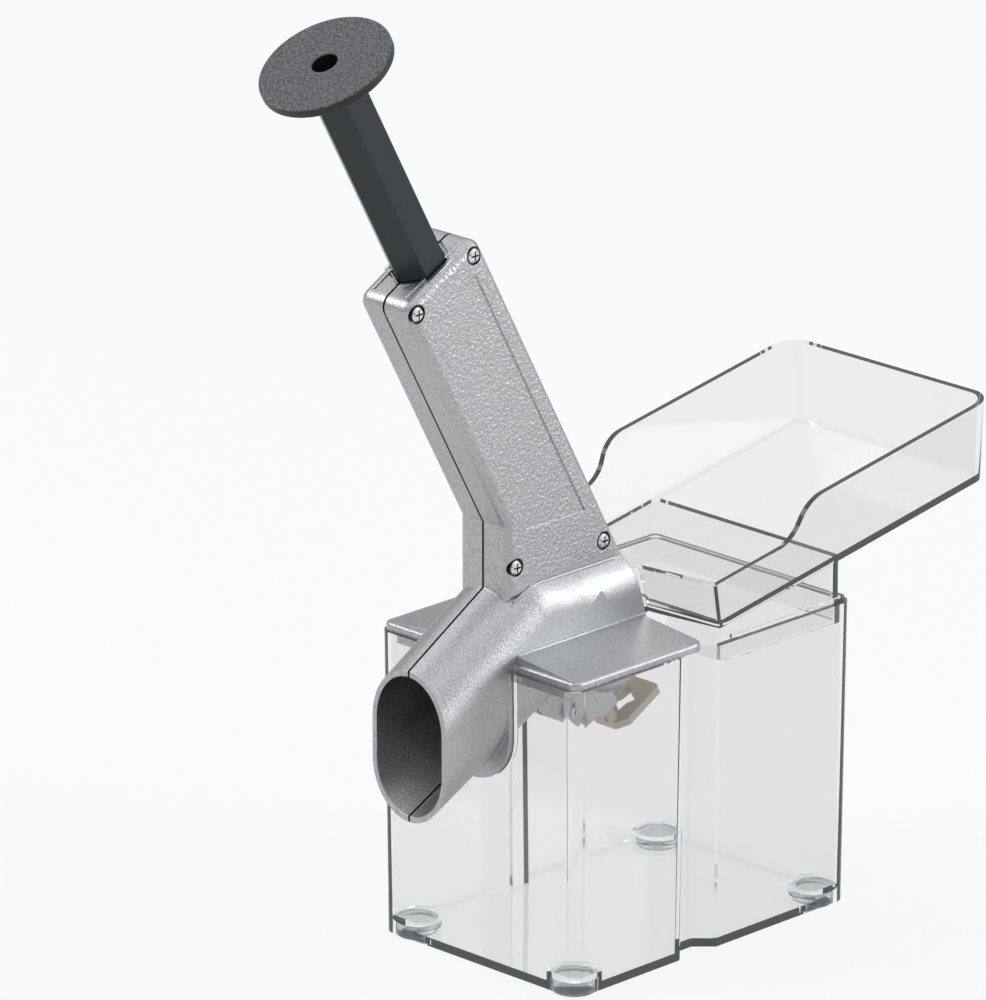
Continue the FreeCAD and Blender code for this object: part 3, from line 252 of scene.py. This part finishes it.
def makeScrewHead():
    # zinc-plated steel, cold headed: a bright crown, with painted shade in the cross and round the seat
    material, tree, shader = newMaterial("zincScrewHead", {"Metallic": 1.0, "Roughness": 0.2})
    where = add(tree, "ShaderNodeTexCoord")
    place = add(tree, "ShaderNodeSeparateXYZ", {}, {0: (where, "Object")})
    # noise that frays the edge of the painted shade
    shadeEdgeNoise = add(tree, "ShaderNodeTexNoise", {"Scale": 1 / screwHead["patch"]},
                {"Vector": (where, "Object")})
    drift = add(tree, "ShaderNodeMath", {"operation": "MULTIPLY_ADD", 1: screwHead["drift"]},
                {0: (shadeEdgeNoise, 0), 2: (place, "X")})
    crown = add(tree, "ShaderNodeMapRange",
                {"From Min": screwHead["crown"] - screwHead["shade"] * screwHead["seat"],
                 "From Max": screwHead["crown"] - screwHead["shade"]}, {"Value": (drift, 0)})
    mixed = add(tree, "ShaderNodeMix", {"data_type": "RGBA", 6: colour(screwHead["recessShade"]),
                                        7: colour(screwHead["bright"])}, {0: (crown, 0)})
    tree.links.new(mixed.outputs[2], shader.inputs["Base Color"])
    return material


paint(makeScrewHead(), "screw_top_front", "screw_top_rear", "screw_waist_front", "screw_waist_rear")

# stainless steel, ground: bright and slightly soft
paint(grained("stainlessRod", "C4C4C4", {"Metallic": 1.0, "Roughness": 0.18}, 2.0 * mm, 0.05),
      "pitting_rod")

# spring steel, drawn: grey with long soft highlights
paint(grained("springSteel", "B5B6B8", {"Metallic": 1.0, "Roughness": 0.3}, 1.0 * mm, 0.1),
      "return_spring")

# acetal, turned: milky white with a waxy sheen
paint(grained("acetal", "E6E5E0", {"Roughness": 0.35, "IOR": 1.48}, 1.0 * mm, 0.1), "guide_bush")

# polyethylene, moulded: taupe, waxy, a little light inside it
paint(grained("taupePolyethylene", "C2B9A6", {"Roughness": 0.4, "IOR": 1.51, "Subsurface Weight": 0.1,
                                              "Subsurface Scale": 1.0 * mm}, 1.5 * mm, 0.15),
      "pit_wiper")

# thermoplastic rubber, moulded: smoky and half clear, glossy where it is dished, with a trace of painted
# glow
smokyRubber = grained("smokyRubber", "C2CDCF",
                      {"Roughness": 0.12, "IOR": 1.3, "Transmission Weight": 1.0,
                       "Emission Color": colour("DDE8E6"), "Emission Strength": 0.01}, 0.8 * mm, 0.3)
print("materials done")


# shared steps for the modelled pieces

def freshStart():
    if bpy.context.object and bpy.context.object.mode != "OBJECT":
        bpy.ops.object.mode_set(mode="OBJECT")
    bpy.ops.object.select_all(action="DESELECT")


def soften(piece, width, segments):
    soft = piece.modifiers.new("soft", "BEVEL")
    soft.width = width * mm
    soft.segments = segments
    soft.limit_method = "ANGLE"


def applyAll(piece):
    bpy.context.view_layer.objects.active = piece
    for modifier in [item.name for item in piece.modifiers]:
        bpy.ops.object.modifier_apply(modifier=modifier)


def settle(piece, name, material, body, angle=35):
    # place into the mesh, normals out, smooth by angle, material and body
    freshStart()
    piece.select_set(True)
    bpy.context.view_layer.objects.active = piece
    bpy.ops.object.transform_apply(location=True, rotation=True, scale=True)
    bpy.ops.object.mode_set(mode="EDIT")
    bpy.ops.mesh.select_all(action="SELECT")
    bpy.ops.mesh.normals_make_consistent(inside=False)
    bpy.ops.object.mode_set(mode="OBJECT")
    bpy.ops.object.shade_smooth_by_angle(angle=math.radians(angle))
    piece.name = name
    piece.data.materials.clear()
    piece.data.materials.append(material)
    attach(piece, body)
    freshStart()


# feet: dished rubber buttons, a hair under the roofs of their pockets

feet = {"names": ("foot_front_left", "foot_front_right", "foot_rear_left", "foot_rear_right"),
        "radius": 6.25, "tall": 4.4, "rim": 1.3, "dish": 1.1, "soft": 0.4, "sides": 64}


def makeFoot():
    freshStart()
    bpy.ops.mesh.primitive_cylinder_add(vertices=feet["sides"], radius=feet["radius"] * mm,
                                        depth=feet["tall"] * mm, location=(0, 0, feet["tall"] / 2 * mm))
    piece = bpy.context.object
    bpy.ops.object.transform_apply(location=True, rotation=True, scale=True)
    bpy.ops.object.mode_set(mode="EDIT")
    bpy.ops.mesh.select_all(action="DESELECT")
    bpy.ops.object.mode_set(mode="OBJECT")
    for face in piece.data.polygons:
        face.select = face.normal.z > 0.9
    bpy.ops.object.mode_set(mode="EDIT")
    bpy.ops.mesh.inset(thickness=feet["rim"] * mm)
    bpy.ops.mesh.extrude_region_move(TRANSFORM_OT_translate={"value": (0, 0, -feet["dish"] * mm)})
    bpy.ops.mesh.inset(thickness=feet["rim"] * mm)
    bpy.ops.object.mode_set(mode="OBJECT")
    soften(piece, feet["soft"], 3)
    applyAll(piece)
    return piece


pattern = makeFoot()
for name in feet["names"]:
    low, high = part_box(name)
    piece = bpy.data.objects.new(name, pattern.data.copy())
    bpy.context.scene.collection.objects.link(piece)
    piece.location = ((low[0] + high[0]) / 2, (low[1] + high[1]) / 2, 0)
    settle(piece, name.replace("foot_", "rubber_foot_"), smokyRubber, "container")
    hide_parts(name)
bpy.data.objects.remove(pattern)
print("feet done")


# small cast forms laid on the housing, all in mm

def onAxis(up, behind):
    # a point of the middle plane, given up the plunger axis and behind it
    lean = math.radians(axisFoot["lean"])
    along = axisFoot["along"] - up * math.sin(lean) + behind * math.cos(lean)
    level = axisFoot["level"] + up * math.cos(lean) + behind * math.sin(lean)
    return Vector((0, along, level)) * mm


sweep = {"root": 13.9, "wall": 14.35, "foot": 36.5, "rise": 2.3, "under": 0.5, "top": 94.1,
         "front": -54.6, "rear": -4.6, "hide": 0.03}


def makeSweep(side):
    # a block on the flange, cut off along a slope that rises to the hood's side
    run = sweep["foot"] - sweep["wall"]
    low, high = sweep["top"] - sweep["under"], sweep["top"] + sweep["rise"] * 2
    middle = Vector((side * (sweep["root"] + sweep["foot"]) / 2, (sweep["front"] + sweep["rear"]) / 2,
                     (low + high) / 2)) * mm
    size = Vector((sweep["foot"] - sweep["root"], sweep["rear"] - sweep["front"], high - low)) * mm
    freshStart()
    bpy.ops.mesh.primitive_cube_add(size=1.0, location=middle, scale=size)
    block = bpy.context.object
    bpy.ops.object.transform_apply(location=True, rotation=True, scale=True)
    bpy.ops.object.mode_set(mode="EDIT")
    bpy.ops.mesh.select_all(action="SELECT")
    bpy.ops.mesh.bisect(plane_co=Vector((side * sweep["foot"], 0, sweep["top"] - sweep["hide"])) * mm,
                        plane_no=Vector((side * sweep["rise"], 0, run)).normalized(),
                        use_fill=True, clear_outer=True)
    bpy.ops.object.mode_set(mode="OBJECT")
    settle(block, "flangeSweep" + sideName[side], castSkin, "housing", 20)


bead = {"radius": 0.5, "rear": -3.6, "soft": 0.3, "sides": 16}


def makeBead(side):
    # a thin round bead where the sweep meets the hood's side
    freshStart()
    length = bead["rear"] - sweep["front"]
    place = Vector((side * sweep["wall"], sweep["front"] + length / 2,
                    sweep["top"] + sweep["rise"])) * mm
    bpy.ops.mesh.primitive_cylinder_add(vertices=bead["sides"], radius=bead["radius"] * mm,
                                        depth=length * mm, location=place, rotation=(math.pi / 2, 0, 0))
    piece = bpy.context.object
    soften(piece, bead["soft"], 3)
    applyAll(piece)
    settle(piece, "flangeBead" + sideName[side], castSkin, "housing")


rail = {"across": 6.3, "wide": 0.9, "tall": 0.35, "front": -12.6, "rear": 10.8, "level": 169.6,
        "soft": 0.16}


def makeRail(side):
    # a low rail along the lid's side edge
    start, end = onAxis(rail["level"], rail["front"]), onAxis(rail["level"], rail["rear"])
    freshStart()
    place = (start + end) / 2 + Vector((side * rail["across"] * mm, 0, 0))
    size = (rail["wide"] * mm, (end - start).length, rail["tall"] * 2 * mm)
    bpy.ops.mesh.primitive_cube_add(size=1.0, location=place, scale=size,
                                    rotation=(math.radians(axisFoot["lean"]), 0, 0))
    piece = bpy.context.object
    bpy.ops.object.transform_apply(location=False, rotation=False, scale=True)
    soften(piece, rail["soft"], 3)
    applyAll(piece)
    settle(piece, "lidRail" + sideName[side], castSkin, "housing")


shoulder = {
    "inner": 8.6,             # the strip ends inside the box's side, this far from the middle plane
    # centre along Y, centre up, lean and radius, from inside the duct's wall to inside the hood's
    "stations": ((-49.17, 98.88, 28.8, 13.75), (-42.29, 102.94, 28.8, 14.37),
                 (-39.04, 104.93, 28.8, 14.38), (-33.0, 103.75, 14.4, 14.38),
                 (-26.0, 103.2, 0.0, 14.37), (-19.0, 103.2, 0.0, 13.75)),
    "facets": 96,
    "slack": 0.01,
    "thick": 0.8,
}


def makeShoulder(side):
    # a smooth strip where the spout's round top turns into the hood
    freshStart()
    along, level, lean, radius = shoulder["stations"][0]
    bpy.ops.mesh.primitive_circle_add(vertices=shoulder["facets"], radius=radius * mm,
                                      location=Vector((0, along, level)) * mm,
                                      rotation=(math.radians(90 + lean), 0, 0))
    piece = bpy.context.object
    bpy.ops.object.transform_apply(location=True, rotation=True, scale=True)
    bpy.ops.object.mode_set(mode="EDIT")
    bpy.ops.mesh.select_all(action="DESELECT")
    bpy.ops.object.mode_set(mode="OBJECT")
    turn = math.radians(lean)
    for vertex in piece.data.vertices:
        above = (vertex.co.z / mm - level) * math.cos(turn) - (vertex.co.y / mm - along) * math.sin(turn)
        vertex.select = vertex.co.x * side < shoulder["inner"] * mm or above < -shoulder["slack"]
    bpy.ops.object.mode_set(mode="EDIT")
    bpy.ops.mesh.delete(type="VERT")
    bpy.ops.mesh.select_all(action="SELECT")
    for before, after in zip(shoulder["stations"], shoulder["stations"][1:]):
        shift = Vector((0, after[0] - before[0], after[1] - before[1])) * mm
        centre = Vector((0, after[0], after[1])) * mm
        share = after[3] / before[3]
        bpy.ops.mesh.extrude_edges_move(TRANSFORM_OT_translate={"value": shift})
        bpy.ops.transform.rotate(value=math.radians(before[2] - after[2]), orient_axis="X",
                                 center_override=centre)
        bpy.ops.transform.resize(value=(share, share, share), center_override=centre)
    bpy.ops.object.mode_set(mode="OBJECT")
    if piece.data.polygons[0].normal.x * side < 0:
        bpy.ops.object.mode_set(mode="EDIT")
        bpy.ops.mesh.select_all(action="SELECT")
        bpy.ops.mesh.flip_normals()
        bpy.ops.object.mode_set(mode="OBJECT")
    thick = piece.modifiers.new("thick", "SOLIDIFY")
    thick.thickness = shoulder["thick"] * mm
    thick.offset = -1.0
    applyAll(piece)
    settle(piece, "hoodShoulder" + sideName[side], castSkin, "housing", 50)


hoodBead = {"radius": 0.42, "sides": 10,
            "path": ((9.6, -51.5, 110.2), (9.9, -48.5, 111.8), (10.05, -45.0, 113.4),
                     (10.1, -41.0, 113.85), (10.1, -11.5, 113.85))}


def makeHoodBead(side):
    # a thin bead where the box's side ends on the hood
    freshStart()
    points = [Vector((side * x, y, z)) * mm for x, y, z in hoodBead["path"]]
    bpy.ops.mesh.primitive_circle_add(vertices=hoodBead["sides"], radius=hoodBead["radius"] * mm,
                                      location=points[0], rotation=(math.pi / 2, 0, 0), fill_type="NGON")
    piece = bpy.context.object
    bpy.ops.object.mode_set(mode="EDIT")
    bpy.ops.mesh.select_all(action="SELECT")
    for before, after in zip(points, points[1:]):
        bpy.ops.mesh.extrude_region_move(TRANSFORM_OT_translate={"value": after - before})
    bpy.ops.object.mode_set(mode="OBJECT")
    settle(piece, "hoodBead" + sideName[side], castSkin, "housing", 50)


lip = {"sides": 6, "inner": 7.75, "outer": 8.75, "tall": 0.35, "soft": 0.12}


def makeLip():
    # a raised six-sided lip round the plunger's opening
    freshStart()
    centre = onAxis(rail["level"] - lip["tall"], 0)
    bpy.ops.mesh.primitive_circle_add(vertices=lip["sides"], location=centre,
                                      radius=lip["outer"] / math.cos(math.pi / lip["sides"]) * mm,
                                      rotation=(math.radians(axisFoot["lean"]), 0, 0))
    piece = bpy.context.object
    bpy.ops.object.mode_set(mode="EDIT")
    bpy.ops.mesh.select_all(action="SELECT")
    share = lip["inner"] / lip["outer"]
    bpy.ops.mesh.extrude_edges_move()
    bpy.ops.transform.resize(value=(share, share, share), center_override=centre)
    bpy.ops.object.mode_set(mode="OBJECT")
    thick = piece.modifiers.new("thick", "SOLIDIFY")
    thick.thickness = lip["tall"] * 2 * mm
    thick.offset = 0.0
    soften(piece, lip["soft"], 2)
    applyAll(piece)
    settle(piece, "barLip", castSkin, "housing")


for side in sideName:
    makeSweep(side)
    makeBead(side)
    makeRail(side)
    makeShoulder(side)
    makeHoodBead(side)
makeLip()
print("small cast forms done")


# floor, light and camera

studio = {
    "white": (1, 1, 1, 1),
    "cameraGlow": 0.86,       # how much of the floor glows where the camera looks
    "mirrorGlow": 0.62,       # and where a reflection looks
    "fill": 0.42,
    "low": 0.35,              # the mirrored sky's strength at the horizon and overhead
    "high": 1.15,
    "from": 0.1,
    "to": 0.9,
}


def rayKinds(tree):
    # 1 where the camera looks, straight or through a clear wall; the path tells where a reflection looks
    path = add(tree, "ShaderNodeLightPath")
    seen = add(tree, "ShaderNodeMath", {"operation": "MAXIMUM"},
               {0: (path, "Is Camera Ray"), 1: (path, "Is Transmission Ray")})
    return seen, path


floorPlate = {"size": 12.0, "below": 0.0002, "shade": "F4F4F4", "rough": 0.9}


def makeFloor():
    freshStart()
    bpy.ops.mesh.primitive_plane_add(size=floorPlate["size"], location=(0, 0, -floorPlate["below"]))
    floor = bpy.context.object
    floor.name = "studioFloor"
    material, tree, shader = newMaterial("paleFloor", {"Base Color": colour(floorPlate["shade"]),
                                                       "Roughness": floorPlate["rough"]})
    output = [item for item in tree.nodes if item.type == "OUTPUT_MATERIAL"][0]
    seen, path = rayKinds(tree)
    straight = add(tree, "ShaderNodeMath", {"operation": "MULTIPLY", 1: studio["cameraGlow"]},
                   {0: (seen, 0)})
    mirrored = add(tree, "ShaderNodeMath", {"operation": "MULTIPLY", 1: studio["mirrorGlow"]},
                   {0: (path, "Is Glossy Ray")})
    share = add(tree, "ShaderNodeMath", {"operation": "MAXIMUM"}, {0: (straight, 0), 1: (mirrored, 0)})
    glow = add(tree, "ShaderNodeEmission", {"Color": studio["white"], "Strength": 1.0})
    mix = add(tree, "ShaderNodeMixShader", {}, {0: (share, 0), 1: (shader, 0), 2: (glow, 0)})
    tree.links.new(mix.outputs[0], output.inputs["Surface"])
    floor.data.materials.append(material)
    bpy.ops.object.transform_apply(location=True, rotation=True, scale=True)


def makeWorld():
    world = bpy.data.worlds.new("studioWorld")
    bpy.context.scene.world = world
    world.use_nodes = True
    tree = world.node_tree
    tree.nodes.clear()
    seen, path = rayKinds(tree)
    where = add(tree, "ShaderNodeTexCoord")
    place = add(tree, "ShaderNodeSeparateXYZ", {}, {0: (where, "Generated")})
    level = add(tree, "ShaderNodeMapRange", {"From Min": studio["from"], "From Max": studio["to"],
                                             "To Min": studio["low"], "To Max": studio["high"]},
                {"Value": (place, "Z")})
    fill = add(tree, "ShaderNodeBackground", {"Color": studio["white"], "Strength": studio["fill"]})
    mirror = add(tree, "ShaderNodeBackground", {"Color": studio["white"]}, {"Strength": (level, 0)})
    white = add(tree, "ShaderNodeBackground", {"Color": studio["white"], "Strength": 1.0})
    lit = add(tree, "ShaderNodeMixShader", {},
              {0: (path, "Is Glossy Ray"), 1: (fill, 0), 2: (mirror, 0)})
    mix = add(tree, "ShaderNodeMixShader", {}, {0: (seen, 0), 1: (lit, 0), 2: (white, 0)})
    add(tree, "ShaderNodeOutputWorld", {}, {"Surface": (mix, 0)})


lamps = {
    "key": {"at": (-1.3, -1.5, 1.8), "size": 1.2, "power": 24.0},
    "side": {"at": (1.8, 1.5, 0.7), "size": 1.1, "power": 19.0},
    "top": {"at": (0.7, 1.3, 2.0), "size": 1.8, "power": 5.0},
}
lampTarget = (0, -0.03, 0.13)


def makeLamps():
    for name, lamp in lamps.items():
        data = bpy.data.lights.new(name + "Lamp", "AREA")
        data.size = lamp["size"]
        data.energy = lamp["power"]
        item = bpy.data.objects.new(name + "Lamp", data)
        bpy.context.scene.collection.objects.link(item)
        aim = Vector(lampTarget) - Vector(lamp["at"])
        item.location = lamp["at"]
        item.rotation_euler = aim.to_track_quat("-Z", "Y").to_euler()


# degrees, metres and a 36 mm sensor, fitted to the photograph
view = {"azimuth": 44.8, "elevation": 18.7, "distance": 2.8, "lens": 352.8, "sensor": 36.0,
        "across": -0.035, "up": 0.1191, "far": 50.0}


def makeCamera():
    around, above = math.radians(view["azimuth"]), math.radians(view["elevation"])
    right = Vector((math.cos(around), math.sin(around), 0))
    back = Vector((math.sin(around) * math.cos(above), -math.cos(around) * math.cos(above),
                   math.sin(above)))
    up = back.cross(right)
    eye = right * view["across"] + up * view["up"] + back * view["distance"]
    data = bpy.data.cameras.new("photoCamera")
    data.lens = view["lens"]
    data.sensor_width = view["sensor"]
    data.clip_end = view["far"]
    camera = bpy.data.objects.new("photoCamera", data)
    bpy.context.scene.collection.objects.link(camera)
    camera.matrix_world = Matrix.Translation(eye) @ Matrix((right, up, back)).transposed().to_4x4()
    bpy.context.scene.camera = camera


makeFloor()
makeWorld()
makeLamps()
makeCamera()
bpy.context.scene.view_settings.view_transform = "Standard"
print("studio done")
